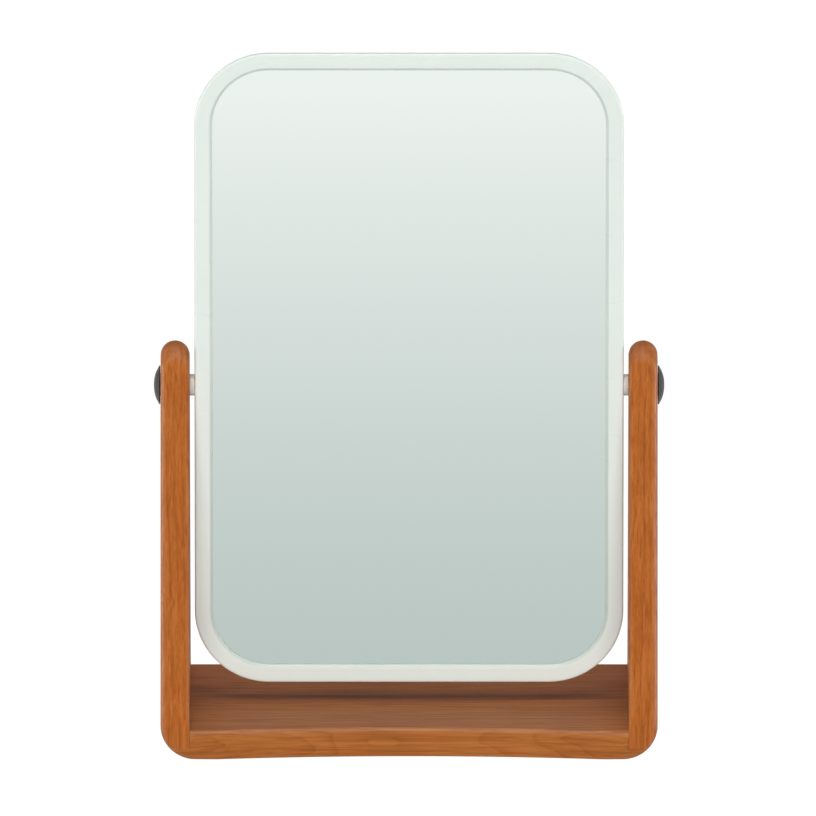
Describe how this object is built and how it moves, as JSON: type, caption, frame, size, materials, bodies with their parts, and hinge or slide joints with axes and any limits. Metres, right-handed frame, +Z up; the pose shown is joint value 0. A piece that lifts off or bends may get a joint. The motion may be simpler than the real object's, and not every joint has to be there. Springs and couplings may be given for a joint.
{
  "type": "tabletop swivel mirror",
  "caption": "Rectangular swivel mirror in a pale rounded frame, hung between tapered wooden posts on a wooden base, with domed tightening knobs.",
  "frame": {"origin": "on the surface the feet stand on, under the middle of the base's box", "axes": "+X to the right seen from the front, along the tilt axis; +Y to the back, so the glass faces -Y; +Z up"},
  "size_m": [0.2056, 0.1, 0.2832],
  "materials": {
    "stand_wood": "oiled reddish-brown hardwood with fine streaky grain",
    "dowel_wood": "plain turned beech",
    "frame_plastic": "satin off-white with a faint green cast",
    "cover_plastic": "fine-textured off-white",
    "silvered_glass": "polished, silvered at the back",
    "pad_foam": "closed-cell foam",
    "hardboard": "pressed fibre board",
    "knob_metal": "satin charcoal-black coating",
    "steel": "zinc-plated",
    "insert_brass": "turned and knurled",
    "bush_nylon": "natural light-grey nylon",
    "foot_rubber": "soft matt rubber"
  },
  "bodies": {
    "stand": {"base_board": "stand_wood", "left_post": "stand_wood", "right_post": "stand_wood", "joint_dowels": "dowel_wood", "rubber_feet": "foot_rubber", "left_pivot_bush": "bush_nylon", "right_pivot_bush": "bush_nylon", "left_flat_washer": "steel", "right_flat_washer": "steel"},
    "mirror_head": {"mirror_frame": "frame_plastic", "mirror_glass": "silvered_glass", "foam_pad": "pad_foam", "backing_board": "hardboard", "back_cover": "cover_plastic", "cover_screws": "steel", "left_insert": "insert_brass", "right_insert": "insert_brass"},
    "left_spring": {"left_spring_washer": "steel"},
    "right_spring": {"right_spring_washer": "steel"},
    "left_thumb_knob": {"left_stud": "steel", "left_knob": "knob_metal"},
    "right_thumb_knob": {"right_stud": "steel", "right_knob": "knob_metal"}
  },
  "joints": [
    {"name": "head_tilt", "type": "hinge", "parent": "stand", "child": "mirror_head", "pos_m": [0, 0, 0.1436], "axis": [1, 0, 0], "range_deg": [-155, 155]},
    {"name": "left_knob_travel", "type": "slide", "parent": "mirror_head", "child": "left_spring", "axis": [-1, 0, 0], "range_m": [0, 0.0007]},
    {"name": "right_knob_travel", "type": "slide", "parent": "mirror_head", "child": "right_spring", "axis": [1, 0, 0], "range_m": [0, 0.0007]},
    {"name": "left_knob_turn", "type": "hinge", "parent": "left_spring", "child": "left_thumb_knob", "pos_m": [-0.1, 0, 0.1436], "axis": [-1, 0, 0], "range_deg": [0, 360]},
    {"name": "right_knob_turn", "type": "hinge", "parent": "right_spring", "child": "right_thumb_knob", "pos_m": [0.1, 0, 0.1436], "axis": [1, 0, 0], "range_deg": [0, 360]}
  ],
  "couplings": [
    {"joint": "left_knob_turn", "follows": "left_knob_travel", "rad_per_m": 8975.9},
    {"joint": "right_knob_turn", "follows": "right_knob_travel", "rad_per_m": 8975.9}
  ]
}
